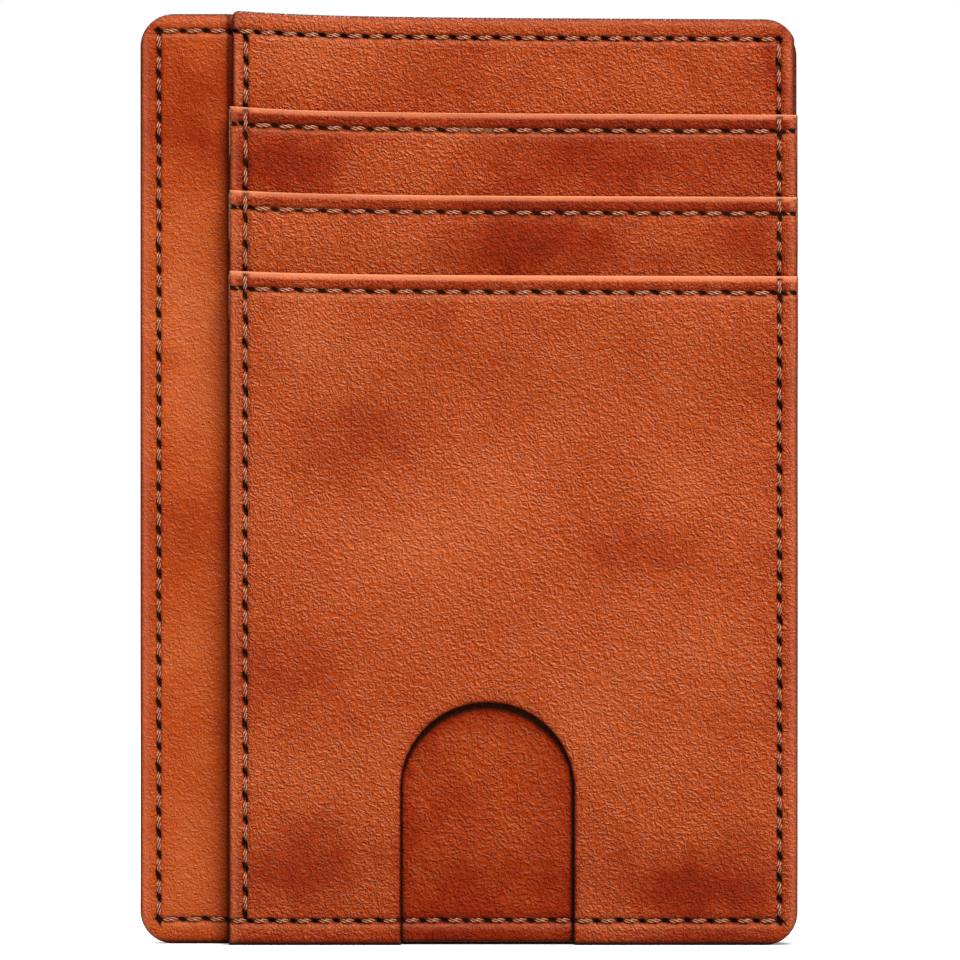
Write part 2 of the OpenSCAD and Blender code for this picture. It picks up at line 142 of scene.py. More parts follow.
# ---- Back panel ----
# The back panel is full-grain cowhide, 0.7 mm thick, rubbed with tan dye by hand. Its edges are
# skived and turned over a stiffener board, and everything on the back is sewn to it.
CELL = 0.6               # mesh size of plain leather, in mm like every size below
FINE_CUTS = 3            # extra cuts of a cell at seams, rims and lips
FINE_RIM = 0.45          # how far in from a rim those reach
FINE_SEAM = 0.65         # and how far to either side of a seam
CORNER = 4.0             # radius of the wallet's corners
BACKING_PLY = 0.7        # leather of the two big panels
TURNED_PLY = 0.4         # their skived edges, turned in over the boards
TURN_IN = 4.0            # width of that turned edge
HEM = 5.0                # width of a lip's folded hem
LIP_DROP = 0.26          # how far a lip rolls back before its fold
OUTER_PITCH = 2.65       # stitch length of the outer seam
INNER_PITCH = 2.9        # stitch length of the other seams
THREAD_R = 0.18          # half the thickness of the design's plain thread
FOOT_ROW_LIFT = 0.25     # the row along the foot lies this much above the design's
ABOVE_ALL = 200.0        # a height above the whole wallet
NO_LIP = (1e3, 1e3)      # the lip zone of a sheet without a lip


def corners_of(node):
    """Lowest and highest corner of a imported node, in mm."""
    return [np.array(corner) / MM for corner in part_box(node)]


def middle_of(node, axis):
    """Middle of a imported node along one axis, in mm."""
    return float(sum(corner[axis] for corner in corners_of(node)) / 2)


half_w = corners_of("back_backing_panel")[1][0]
back_top = corners_of("back_backing_panel")[1][2]
back_face = corners_of("back_backing_panel")[1][1]
pocket_lip = corners_of("front_pocket_panel")[1][2]
middle_lip = corners_of("front_middle_strip")[1][2]
upper_lip = corners_of("front_upper_strip")[1][2]
stack_left = corners_of("front_pocket_panel")[0][0]
seam_x = corners_of("perimeter_thread")[1][0] - THREAD_R
seam_low = corners_of("perimeter_thread")[0][2] + THREAD_R + FOOT_ROW_LIFT
seam_high = corners_of("perimeter_thread")[1][2] - THREAD_R
sewing = {}              # the stitches of each thread, filled as the leather is marked


def ease(value, start, end):
    """0 before start, 1 after end and a smooth step between."""
    share = np.clip((value - start) / (end - start), 0, 1)
    return share * share * (3 - 2 * share)


def level_on(path, z):
    """Level of a sheet's grain side at height z, easing from each point of its path to the next."""
    z = np.asarray(z, float)
    level = np.full(z.shape, float(path[0][1]))
    for (z0, y0), (z1, y1) in zip(path, path[1:]):
        level += (y1 - y0) * ease(z, z0, z1)
    return level


def round_box(x, z, low, high, r):
    """Distance from a rectangle with round corners, negative inside it."""
    qx = np.abs(x - (low[0] + high[0]) / 2) - (high[0] - low[0]) / 2 + r
    qz = np.abs(z - (low[1] + high[1]) / 2) - (high[1] - low[1]) / 2 + r
    outside = np.hypot(np.maximum(qx, 0), np.maximum(qz, 0))
    return outside + np.minimum(np.maximum(qx, qz), 0) - r


def wallet_outline(x, z, top=ABOVE_ALL):
    """Distance from the wallet's outline, negative inside it."""
    return round_box(x, z, (-half_w, 0), (half_w, top), CORNER)


def settle(x, z):
    """Height of a point once the sewn wallet has settled. Its lips and top stand up at the left,
    drop quickly and then slowly, and its foot stays put."""
    along = np.maximum(x - stack_left, 0)
    lift = 0.62 * np.exp(-along / 10) - 0.10 - 0.0032 * along
    return z + lift * (np.clip(z, 0, 105) / 90) ** 2


def swell(x, z, seed, shortest, longest, count=16):
    """A soft random unevenness with a spread of about 1, the same on every run."""
    draw = np.random.default_rng(seed)
    total = np.zeros_like(x)
    for _ in range(count):
        angle, phase = draw.uniform(0, 2 * math.pi, 2)
        k = 2 * math.pi / draw.uniform(shortest, longest)
        total += np.sin(k * (x * math.cos(angle) + z * math.sin(angle)) + phase)
    return total / math.sqrt(count / 2)


def along_and_across(kind, at, x, z):
    """Distance along a seam and across it: a row runs sideways and a column upwards."""
    return (x, z - at) if kind == "row" else (z, x - at)


def cut_hide(span, length, edge, seams, lip_zone, cell=CELL):
    """Cuts a flat sheet and gives it a flesh side. In the sheet x runs across, y runs up from the
    foot, and z is 0 on the grain side and 1 on the flesh side."""
    bm = bmesh.new()
    columns = round((span[1] - span[0]) / cell)
    rows = round((length[1] - length[0]) / cell)
    bmesh.ops.create_grid(bm, x_segments=columns, y_segments=rows, size=0.5)
    bmesh.ops.scale(bm, vec=(span[1] - span[0], length[1] - length[0], 1), verts=bm.verts)
    middle = ((span[0] + span[1]) / 2, (length[0] + length[1]) / 2, 0)
    bmesh.ops.translate(bm, vec=middle, verts=bm.verts)

    x, s = np.array([face.calc_center_median()[:2] for face in bm.faces]).T
    waste = [face for face, off in zip(bm.faces, edge(x, s) < 0) if off]
    bmesh.ops.delete(bm, geom=waste, context="FACES")
    rim = [v for v in bm.verts if v.is_boundary]
    x, s = np.array([v.co[:2] for v in rim]).T
    reach, nudge = edge(x, s), 0.01
    push_x = (edge(x + nudge, s) - edge(x - nudge, s)) / (2 * nudge) * reach
    push_s = (edge(x, s + nudge) - edge(x, s - nudge)) / (2 * nudge) * reach
    for v, dx, ds, depth in zip(rim, push_x, push_s, reach):
        if abs(depth) < cell:
            v.co.x -= dx
            v.co.y -= ds
    x, s = np.array([v.co[:2] for v in bm.verts]).T
    beside = (edge(x, s) < 2 * cell) & ~np.array([v.is_boundary for v in bm.verts])
    loose = [v for v, near in zip(bm.verts, beside) if near]
    for _ in range(2):
        bmesh.ops.smooth_vert(bm, verts=loose, factor=0.5, use_axis_x=True, use_axis_y=True)

    thick = bmesh.ops.extrude_face_region(bm, geom=bm.faces[:], use_keep_orig=True)
    flesh = [item for item in thick["geom"] if isinstance(item, bmesh.types.BMVert)]
    bmesh.ops.translate(bm, vec=(0, 0, 1), verts=flesh)

    bm.verts.index_update()
    place = np.array([v.co for v in bm.verts])
    ends = np.array([[v.index for v in e.verts] for e in bm.edges])
    x, s, side = place[ends].mean(axis=1).T
    fine = (edge(x, s) < FINE_RIM) | ((s > lip_zone[0]) & (s < lip_zone[1]))
    for _, kind, at, start, end, _ in seams:
        along, across = along_and_across(kind, at, x, s)
        fine |= (np.abs(across) < FINE_SEAM) & (along > start - 0.6) & (along < end + 0.6)
    fine &= side < 0.25
    chosen = [e for e, wanted in zip(bm.edges, fine) if wanted]
    bmesh.ops.subdivide_edges(bm, edges=chosen, cuts=FINE_CUTS, use_grid_fill=True)
    return bm


def lay_sheet(bm, x, y, z):
    """Lays the points of a cut sheet in their places on the settled wallet, given in mm."""
    for v, place in zip(bm.verts, np.stack([x, y, settle(x, z)], axis=1) * MM):
        v.co = place
    bmesh.ops.recalc_face_normals(bm, faces=bm.faces)


SLOT_REACH = {"row": 0.56, "column": 0.74}      # half the length of a needle slot
SLOT_LEAN = {"row": -0.18, "column": -0.22}     # the needle's blade stands aslant to the seam
SLOT_HALF = 0.27         # half the width of a slot
CHANNEL_HALF = 0.4       # half the width of the channel that a seam pulls into the leather
RIM_UNDER = 0.66         # how far under a row its raised rim lies


def needle_marks(x, z, seams):
    """What the seams do to the leather: how deep it is pulled down, how much painted shade its holes
    and channel get, and where the raised rim under a row gets a painted highlight."""
    sunk, hole_shade, rim_highlight = np.zeros_like(x), np.zeros_like(x), np.zeros_like(x)
    for _, kind, at, start, end, pitch in seams:
        along, across = along_and_across(kind, at, x, z)
        count = max(1, round((end - start) / pitch))
        step = (end - start) / count
        number = np.clip(np.round((along - start) / step), 0, count)
        off = along - start - number * step
        beside = across - SLOT_LEAN[kind] * off - 0.05 * np.sin(2.4 * number + at)
        reach = SLOT_REACH[kind] * (1 + 0.2 * np.sin(3.7 * number + 2 * at))
        slot = np.exp(-((off / reach) ** 2 + (beside / SLOT_HALF) ** 2) ** 2)
        within = ease(along, start - 0.4, start) * ease(-along, -end - 0.4, -end)
        channel = np.exp(-((across / CHANNEL_HALF) ** 4)) * within
        pinch = np.exp(-((off / 0.8) ** 2) - (across / 0.9) ** 2) * within
        pad = np.exp(-(((np.abs(across) - 1.0) / 0.5) ** 2)) * within
        sunk = np.maximum(sunk, 0.4 * slot + 0.24 * channel + 0.08 * pinch) - 0.08 * pad
        # the needle holes, and faintly the seam's channel, get painted shade
        hole_shade = np.maximum(hole_shade, np.maximum(slot, 0.2 * channel))
        if kind == "row":
            rim_highlight = np.maximum(rim_highlight, within * np.exp(-(((across + RIM_UNDER) / 0.2) ** 2)))
    return sunk, hole_shade, rim_highlight


def mark_stitches(seams, path, base, facing):
    """Notes where each stitch starts and ends, for the thread that is sewn in last."""
    for thread, kind, at, start, end, pitch in seams:
        count = max(1, round((end - start) / pitch))
        for i in range(count):
            ends = []
            for along in (start + (end - start) * (i + k) / count for k in (0, 1)):
                x, z = (along, at) if kind == "row" else (at, along)
                ends.append((x, facing * (base + float(level_on(path, z))), float(settle(x, z))))
            sewing.setdefault(thread, []).append((*ends, facing))


def dyed(x, z, spots, seed):
    """How the hand-rubbed dye took, and broad spots that darken some sheets towards their top, right
    side and foot. A spot has its middle, its reach across and up, and its tone, which is light above
    0 and dark below."""
    tone = np.zeros_like(x)
    x = x + 0.9 * swell(x, z, seed + 70, 4, 12)
    z = z + 0.7 * swell(x, z, seed + 80, 4, 12)
    for spot_x, spot_z, reach_x, reach_z, depth in spots:
        tone += depth * np.exp(-(((x - spot_x) / reach_x) ** 2) - ((z - spot_z) / reach_z) ** 2)
    return tone


def ply_thickness(x, s, inset, span, path, ply, lip, fold, turned, filled_to):
    """Thickness of a sheet: skived at its hem, doubled where its edge is turned in, and made up at
    its sewn sides, where the sheets are pressed together."""
    thick = np.full_like(s, ply)
    if lip:
        thick += (fold - 0.03 - ply) * ease(s, lip - HEM - 2, lip - HEM)
    if turned:
        thick += turned * (1 - ease(inset, TURN_IN, TURN_IN + 0.45))
    if filled_to:
        gap = np.maximum(level_on(path, s) - ply - filled_to(s), 0)
        thick += gap * (1 - ease(np.minimum(x - span[0], span[1] - x), 0.3, 0.6))
    return thick


ROLLED_EDGE = 0.65       # how far in from its sides a sheet's rolled edge is rubbed light and gets a painted highlight
BURNISH_AND_SHADE_EDGE = 0.33    # how far in its dark rim reaches: burnish, with painted shade where the rim rolls away
FOOT_SHADE = 0.95         # how high the painted shade at its foot reaches


def rub_and_painted_highlight(x, z, s, span, top, straight, rim_highlight, hole_shade):
    """Where the dye is rubbed thin and a painted highlight is laid on it: on folded lips and along
    the rolled edges, and a painted highlight alone on the rims under the rows."""
    rubbed_and_lit = ease(s, straight - 0.4, straight + 0.25) if not top else np.zeros_like(s)
    rubbed_and_lit = np.maximum(rubbed_and_lit, 0.3 * rim_highlight)
    border = np.minimum(np.minimum(x - span[0], span[1] - x), (top or ABOVE_ALL) - z)
    rolled = np.exp(-(((border - ROLLED_EDGE) / 0.4) ** 2))
    return np.maximum(rubbed_and_lit, 0.25 * rolled * (1 - hole_shade))


def burnish_and_painted_shade(z, s, inset, top, straight, rubbed_and_lit, painted_shadow):
    """Where the leather is darkened: burnished at its cut edges and under its lip, with painted shade
    where its edges roll away and at its foot, and the painted shadows that other parts cast on it."""
    near_lip = ease(s, straight - 2.0, straight - 1.2) if not top else np.zeros_like(s)
    edges = np.maximum(np.exp(-inset / BURNISH_AND_SHADE_EDGE), 0.6 * near_lip * (1 - rubbed_and_lit))
    # painted shade at the foot, where the wallet stands on the floor
    foot = 1.1 * np.exp(-((np.maximum(z, 0) / FOOT_SHADE) ** 1.3))
    return np.maximum(edges, np.maximum(painted_shadow, foot))


def hide_piece(node, material, span, foot, path, base, facing, ply, edge, seams,
               lip=None, fold=0.0, top=None, turned=0.0, rim=0.3, bulge=0.0, uneven=0.05,
               spots=(), seed=1, painted_shadow=lambda x, z: np.zeros_like(x), filled_to=None):
    """One sheet of leather, with a lip or a plain top: cut, thinned, folded and marked by its seams.
    Its path is the level of its grain side above the base, from its foot up."""
    straight = lip - fold if lip else top
    length = straight + math.pi * fold + HEM - fold if lip else top
    lip_zone = (straight - 0.9, straight + math.pi * fold + 0.2) if lip else NO_LIP
    bm = cut_hide(span, (foot, length), edge, seams, lip_zone)
    x, s, side = np.array([v.co for v in bm.verts]).T
    grain = side < 0.5

    turn = np.clip((s - straight) / fold, 0, math.pi) if lip else np.zeros_like(s)
    z = np.minimum(s, straight) + fold * np.sin(turn)
    if lip:
        z -= np.maximum(s - straight - math.pi * fold, 0)
    level = level_on(path, np.minimum(s, straight)) - fold * (1 - np.cos(turn))
    inset = np.maximum(edge(x, np.minimum(s, straight)), 0)
    thick = ply_thickness(x, s, inset, span, path, ply, lip, fold, turned, filled_to)

    sunk, hole_shade, rim_highlight = needle_marks(x, z, seams)
    drop = rim - np.sqrt(np.maximum(rim ** 2 - np.maximum(rim - inset, 0) ** 2, 0))
    drop = drop + 0.16 * (1 - ease(inset, 0, 1.3))
    puff = bulge * np.sin(math.pi * np.clip((x - span[0]) / (span[1] - span[0]), 0, 1)) ** 0.7
    puff = puff * ease(z, foot, foot + 18) * ease(-z, -straight - 6, -straight + 6)
    pulled = np.minimum(sunk, np.maximum(0.8 * thick - drop, 0))
    relief = puff - pulled + uneven * ease(inset, 0.5, 6) * swell(x, z, seed, 7, 26)
    if lip:
        relief -= LIP_DROP * ease(s, straight - 0.8, straight) ** 2
        relief *= ease(-s, -straight - fold, -straight)
    level += np.where(grain, relief - drop, 0)
    level -= np.where(grain, 0, thick * np.cos(turn) - 0.5 * np.minimum(drop, 0.2))
    z -= np.where(grain, 0, thick * np.sin(turn))
    lay_sheet(bm, x, facing * (base + level), z)
    piece = add_piece(node.replace("panel", "hide"), bm, material)

    rubbed_and_lit = rub_and_painted_highlight(x, z, s, span, top, straight, rim_highlight, hole_shade)
    # the dark mark carries painted shade and painted shadows as well as burnish, the light one
    # painted highlights as well as rubbing, and the hole mark painted shade
    marks = {
        "patina": dyed(x, z, spots, seed) + 0.08 * swell(x, z, seed + 50, 9, 30),
        "burnish_and_shade": burnish_and_painted_shade(z, s, inset, top, straight, rubbed_and_lit, painted_shadow(x, z)),
        "rubbed_and_lit": rubbed_and_lit,
        "pit_shade": hole_shade * (turn < 0.01) * grain,
        "flesh": side * (0 if turned else 1),
    }
    for name, values in marks.items():
        layer = piece.data.attributes.new(name, "FLOAT", "POINT")
        layer.data.foreach_set("value", values.astype(np.float32))
    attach(piece, "root")
    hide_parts(node)
    mark_stitches(seams, path, base, facing)


def mix(tree, factor, under, over, mode="MIX"):
    """Lays one colour over another and returns the result."""
    made = wire(tree, "Mix", {0: factor, 6: under, 7: over}, data_type="RGBA", blend_type=mode)
    return made.outputs[2]


def maths(tree, operation, a, b=0.0, c=0.0):
    """One sum on shader values."""
    return wire(tree, "Math", {0: a, 1: b, 2: c}, operation=operation).outputs[0]


def spread(tree, value, low, high, to_low=0.0, to_high=1.0):
    """Maps a value from one range to another with a smooth step."""
    made = wire(tree, "MapRange", {
        "Value": value,
        "From Min": low,
        "From Max": high,
        "To Min": to_low,
        "To Max": to_high,
    }, interpolation_type="SMOOTHSTEP")
    return made.outputs[0]


def ramp(tree, value, stops):
    """A colour ramp through (place, colour) stops."""
    made = wire(tree, "ValToRGB", {"Fac": value})
    band = made.color_ramp.elements
    while len(band) < len(stops):
        band.new(0.5)
    for element, (place, colour) in zip(band, stops):
        element.position = place
        element.color = (*colour, 1)
    return made.outputs["Color"]


def millimetres(tree):
    """The place on the piece, in mm."""
    place = wire(tree, "TexCoord").outputs["Object"]
    return wire(tree, "VectorMath", {0: place, "Scale": 1000}, operation="SCALE").outputs[0]


def noise(tree, place, scale, detail=2.0, roughness=0.5, output="Fac"):
    """A noise with about that many spots to the mm."""
    made = wire(tree, "TexNoise", {
        "Vector": place,
        "Scale": scale,
        "Detail": detail,
        "Roughness": roughness,
    })
    return made.outputs[output]


def attribute(tree, name):
    """One of the marks that a sheet of leather carries."""
    return wire(tree, "Attribute", attribute_name=name).outputs["Fac"]


TANS = (                 # the dye's colours, from where it gathered dark to where it is thin
    (0.0, (0.13, 0.004, 0.0005)),
    (0.25, (0.26, 0.016, 0.001)),
    (0.5, (0.39, 0.050, 0.004)),
    (0.75, (0.47, 0.086, 0.017)),
    (1.0, (0.57, 0.155, 0.062)),
)
# colours of the painted shade and the painted highlight on the grain's flanks
GRAIN_SHADE = (0.42, 0.15, 0.05, 1)
GRAIN_HIGHLIGHT = (1.0, 0.58, 0.40, 1)
RUBBED_AND_LIT_TAN = (0.74, 0.25, 0.12, 1)
BURNISH_AND_SHADE_DARK = (0.01, 0.002, 0.001, 1)
NEEDLE_HOLE_SHADE = (0.012, 0.003, 0.001, 1)
EDGE_PAINT = ((0.3, (0.035, 0.008, 0.003)), (0.7, (0.075, 0.018, 0.007)))
SUEDE = ((0.3, (0.14, 0.05, 0.025)), (0.7, (0.3, 0.13, 0.07)))
TOWARD_LIGHT = (0.05, 0.0, 0.09)      # a small step towards the lamps, up and to the right, in mm


def grain_height(tree, place, size):
    """Height of the grain: worm-like ridges about half a size wide, and finer ones between them."""
    wander = noise(tree, place, 1.1, 2.0, output="Color")
    bent = wire(tree, "VectorMath", {0: wander, 1: (0.9, 0.9, 0.9), 2: place},
                operation="MULTIPLY_ADD").outputs[0]
    worms = noise(tree, bent, 0.8 / size, 1.0)
    worms = maths(tree, "ABSOLUTE", maths(tree, "SUBTRACT", worms, 0.5))
    wrinkles = noise(tree, bent, 1.3 / size, 1.0)
    wrinkles = maths(tree, "ABSOLUTE", maths(tree, "SUBTRACT", wrinkles, 0.47))
    height = maths(tree, "MULTIPLY", spread(tree, worms, 0.0, 0.13, 1.0, 0.0), 0.6)
    return maths(tree, "MULTIPLY_ADD", spread(tree, wrinkles, 0.0, 0.15, 1.0, 0.0), 0.4, height)


def hide_leather(name, grain_size, relief, roughness, shift=0.0, grained=1.0):
    """Dyed and burnished leather: ridged grain with a painted highlight on the flanks that face the
    lamps and painted shade on the others, uneven dye, edges darkened by burnish and painted shade,
    painted shadows, needle holes in painted shade, painted cut edges and a fibrous flesh side."""
    material, tree, surface = plain_material(name, TANS[2][1], roughness)
    place = millimetres(tree)
    height = grain_height(tree, place, grain_size)
    toward_light = wire(tree, "VectorMath", {0: place, 1: TOWARD_LIGHT}, operation="ADD").outputs[0]
    lit_slope = maths(tree, "SUBTRACT", height, grain_height(tree, toward_light, grain_size))
    lit_slope = maths(tree, "MULTIPLY", lit_slope, grained)

    mottle = noise(tree, place, 0.16, 4.0, 0.6)
    patchy = noise(tree, place, 0.7, 3.0, 0.6)
    tone = maths(tree, "MULTIPLY_ADD", attribute(tree, "patina"), 0.17, 0.5 + shift)
    tone = maths(tree, "MULTIPLY_ADD", maths(tree, "SUBTRACT", mottle, 0.5), 0.32, tone)
    tone = maths(tree, "MULTIPLY_ADD", maths(tree, "SUBTRACT", patchy, 0.5), 0.2, tone)
    burnish_and_shade = attribute(tree, "burnish_and_shade")
    rubbed_and_lit = attribute(tree, "rubbed_and_lit")
    # burnish, painted shade at the edges and foot, and painted shadows darken the tone, and turn it
    # near-black where strongest
    tone = maths(tree, "MULTIPLY_ADD", burnish_and_shade, -0.3, tone)
    colour = ramp(tree, tone, TANS)
    grained_here = spread(tree, rubbed_and_lit, 0.0, 1.0, 1.0, 0.2)
    # painted highlight on the grain's flanks that face the lamps, and painted shade on the others
    shaded_grain = mix(tree, 1.0, colour, GRAIN_SHADE, "MULTIPLY")
    shade_share = maths(tree, "MULTIPLY", spread(tree, lit_slope, 0.0, -0.5), grained_here)
    highlight_share = maths(tree, "MULTIPLY", spread(tree, lit_slope, 0.0, 0.6), grained_here)
    highlight_share = maths(tree, "MULTIPLY", highlight_share, spread(tree, tone, 0.2, 0.55, 0.04, 0.25))
    colour = mix(tree, shade_share, colour, shaded_grain)
    colour = mix(tree, highlight_share, colour, GRAIN_HIGHLIGHT)
    # lighter tan where the dye is rubbed thin, with a painted highlight on lips, rolled edges and row
    # rims
    colour = mix(tree, maths(tree, "MULTIPLY", rubbed_and_lit, 0.85), colour, RUBBED_AND_LIT_TAN)
    # near-black where the leather is most burnished and where painted shade and painted shadows are
    # deepest
    colour = mix(tree, spread(tree, burnish_and_shade, 0.5, 1.0, 0.0, 0.97), colour, BURNISH_AND_SHADE_DARK)
    pit_shade = attribute(tree, "pit_shade")
    # painted shade in the needle holes and along the seam's channel
    colour = mix(tree, spread(tree, pit_shade, 0.05, 0.6), colour, NEEDLE_HOLE_SHADE)
    flesh = attribute(tree, "flesh")
    fibre = noise(tree, place, 9.0, 4.0, 0.7)
    colour = mix(tree, spread(tree, flesh, 0.02, 0.2), colour, ramp(tree, fibre, EDGE_PAINT))
    colour = mix(tree, spread(tree, flesh, 0.9, 0.99), colour, ramp(tree, fibre, SUEDE))
    tree.links.new(colour, surface.inputs["Base Color"])

    gloss = maths(tree, "MULTIPLY_ADD", height, -0.12, roughness + 0.1)
    gloss = maths(tree, "MULTIPLY_ADD", patchy, 0.12, gloss)
    gloss = maths(tree, "MAXIMUM", gloss, maths(tree, "MULTIPLY", pit_shade, 0.9))
    tree.links.new(gloss, surface.inputs["Roughness"])
    surface.inputs["Specular IOR Level"].default_value = 0.2
    surface.inputs["Specular Tint"].default_value = (1.0, 0.43, 0.16, 1)
    bump = wire(tree, "Bump", {
        "Strength": 1.0,
        "Distance": relief * MM,
        "Height": maths(tree, "MULTIPLY", height, spread(tree, rubbed_and_lit, 0.0, 1.0, 1.0, 0.15)),
    })
    tree.links.new(bump.outputs[0], surface.inputs["Normal"])
    return material


tan_hide = hide_leather("tan_hide", grain_size=0.52, relief=0.14, roughness=0.34)

back_seams = [("perimeter_thread", "row", seam_high, -seam_x, seam_x, OUTER_PITCH)]
back_seams += [("perimeter_thread", "column", x, upper_lip, seam_high, OUTER_PITCH)
               for x in (-seam_x, seam_x)]
hide_piece(
    "back_backing_panel", tan_hide, (-half_w, half_w), 0, [(0, 0)], back_face, 1,
    BACKING_PLY, lambda x, z: -wallet_outline(x, z, back_top), back_seams, top=back_top,
    turned=TURNED_PLY, rim=0.45, seed=11,
    spots=((-20, 105, 12, 5, 0.6), (25, 107, 10, 5, -0.7)),
)

# ---- Stiffener boards and seam filler ----
# Each big panel is wrapped round a thin board of brown pressed fibre, which keeps the wallet flat.
# A strip of the same board fills the sewn edges out to the thickness of the cash pocket.
fibre_board, tree, surface = plain_material("fibre_board", (0.14, 0.07, 0.04), 0.85)
place = millimetres(tree)
flecks = noise(tree, place, 3.0, 5.0, 0.7)
board_colour = ramp(tree, flecks, ((0.3, (0.07, 0.030, 0.015)), (0.7, (0.19, 0.095, 0.05))))
tree.links.new(board_colour, surface.inputs["Base Color"])
board_bump = wire(tree, "Bump", {"Strength": 0.6, "Distance": 0.05 * MM, "Height": flecks})
tree.links.new(board_bump.outputs[0], surface.inputs["Normal"])


def dress(node, material):
    """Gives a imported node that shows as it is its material."""
    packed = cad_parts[node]
    packed.data.materials.clear()
    packed.data.materials.append(material)


for node in ("front_stiffener", "back_stiffener", "seam_filler"):
    dress(node, fibre_board)

# ---- Linings ----
# Dark plain-woven nylon lines the cash pocket and the card slots. The cash linings are pasted in
# flat. The slot linings hang behind each strip, sewn across at the foot, and the middle ones have
# thick selvages that fill the side seams.
lining_cloth, tree, surface = plain_material("lining_cloth", (0.09, 0.05, 0.03), 0.7)
place = millimetres(tree)
THREADS_PER_MM = 3.2
WAVES_PER_SCALE = 3.2    # a wave texture of scale 1 has this many bands to the mm
weave_scale = THREADS_PER_MM / WAVES_PER_SCALE
warp_threads = wire(tree, "TexWave", {"Vector": place, "Scale": weave_scale},
                    bands_direction="X").outputs["Fac"]
weft_threads = wire(tree, "TexWave", {"Vector": place, "Scale": weave_scale},
                    bands_direction="Z").outputs["Fac"]
weave = maths(tree, "MULTIPLY", warp_threads, weft_threads)
weave = maths(tree, "MULTIPLY_ADD", noise(tree, place, 1.5, 4.0), 0.4, weave)
cloth_colour = ramp(tree, weave, ((0.1, (0.03, 0.016, 0.010)), (0.9, (0.13, 0.075, 0.045))))
tree.links.new(cloth_colour, surface.inputs["Base Color"])
cloth_bump = wire(tree, "Bump", {"Strength": 0.7, "Distance": 0.06 * MM, "Height": weave})
tree.links.new(cloth_bump.outputs[0], surface.inputs["Normal"])
surface.inputs["Sheen Weight"].default_value = 0.2

CLOTH = 0.13             # thickness of the nylon
PASTE = 0.01             # the cloth lies this much below its place in the design
CLOTH_CELL = 1.5         # its mesh size
STEP_FOOT = 81.8         # the middle slots step out above the pockets' lips, from this height
STEP_HEAD = 85.8         # to this one
SLOT_STEP = 0.65         # and by this much
LININGS = [(face, kind) for kind in ("cash", "upper_slot", "middle_slot")
           for face in ("front", "back")]
upper_lining_foot = corners_of("front_upper_slot_lining")[0][2]


def square_cut(x, z):
    """The cloth is cut square on the grid, so every point counts as far from its edge."""
    return np.full_like(x, 9.0)


for seed, (face, kind) in enumerate(LININGS):
    node = f"{face}_{kind}_lining"
    low, high = corners_of(node)
    facing = -1 if face == "front" else 1
    bm = cut_hide((low[0], high[0]), (low[2], high[2]), square_cut, [], NO_LIP, cell=CLOTH_CELL)
    x, z, side = np.array([v.co for v in bm.verts]).T
    level = np.full_like(x, max(abs(low[1]), abs(high[1])))
    thick = np.full_like(x, CLOTH)
    if kind == "middle_slot":
        level -= SLOT_STEP * (1 - ease(z, STEP_FOOT, STEP_HEAD))
        selvage = 1 - ease(np.minimum(x - low[0], high[0] - x), 0.5, 1.4)
        selvage = selvage * ease(-z, -STEP_HEAD + 0.1, -STEP_HEAD + 0.6)
        under = back_face + np.where(z < upper_lining_foot - 0.3, 0.03, 0.22)
        thick += np.maximum(level - CLOTH - PASTE - under, 0) * selvage
    level = level - thick * side - PASTE + 0.008 * swell(x, z, seed, 6, 20)
    lay_sheet(bm, x, facing * level, z)
    lining = add_piece(node + "_cloth", bm, lining_cloth)
    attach(lining, "root")
    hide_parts(node)

# ---- Back slot strips ----
# Two narrow strips of the same hide, 0.6 mm thick, make the back card slots. Each has its top edge
# folded over and topstitched, and its foot is tucked down behind the strip below it.
STRIP = 0.6
FOLD_ROUND = 0.2         # a fold is this much thicker than its leather
STRIP_FOLD = (STRIP + FOLD_ROUND) / 2
UPPER_PATH = [(upper_lip - 15, 0.25 + STRIP)]
MIDDLE_PATH = [(STEP_FOOT, 0.45 + STRIP), (STEP_HEAD, 0.45 + SLOT_STEP + STRIP)]
COLUMN_GAP = 0.7         # a row stops this far from a column, so that their stitches don't touch
SHORT_GAP = 0.35         # and a short stitch this far
EDGE_GAP = 0.5           # a stitch stops this far from the leather's edge


def lip_row(thread, left, column, z):
    """The topstitching of a lip: one row between the two columns, and a short stitch outside each."""
    return [
        (thread, "row", z, column + COLUMN_GAP, seam_x - COLUMN_GAP, INNER_PITCH),
        (thread, "row", z, left + EDGE_GAP, column - SHORT_GAP, INNER_PITCH),
        (thread, "row", z, seam_x + SHORT_GAP, half_w - EDGE_GAP, INNER_PITCH),
    ]


for node, thread, path, lip, below, seed in (
    ("back_upper_strip", "back_upper_lip_thread", UPPER_PATH, upper_lip, middle_lip, 21),
    ("back_middle_strip", "back_middle_lip_thread", MIDDLE_PATH, middle_lip, pocket_lip, 22),
):
    seams = lip_row(thread, -half_w, -seam_x, middle_of(thread, 2))
    seams += [("perimeter_thread", "column", x, below, lip, OUTER_PITCH)
              for x in (-seam_x, seam_x)]
    hide_piece(
        node, tan_hide, (-half_w, half_w), corners_of(node)[0][2], path, back_face,
        1, STRIP, lambda x, z: half_w - np.abs(x), seams, lip=lip, fold=STRIP_FOLD, seed=seed,
        spots=((10, lip - 6, 12, 5, -0.7), (-24, lip - 5, 10, 4, 0.5)),
    )

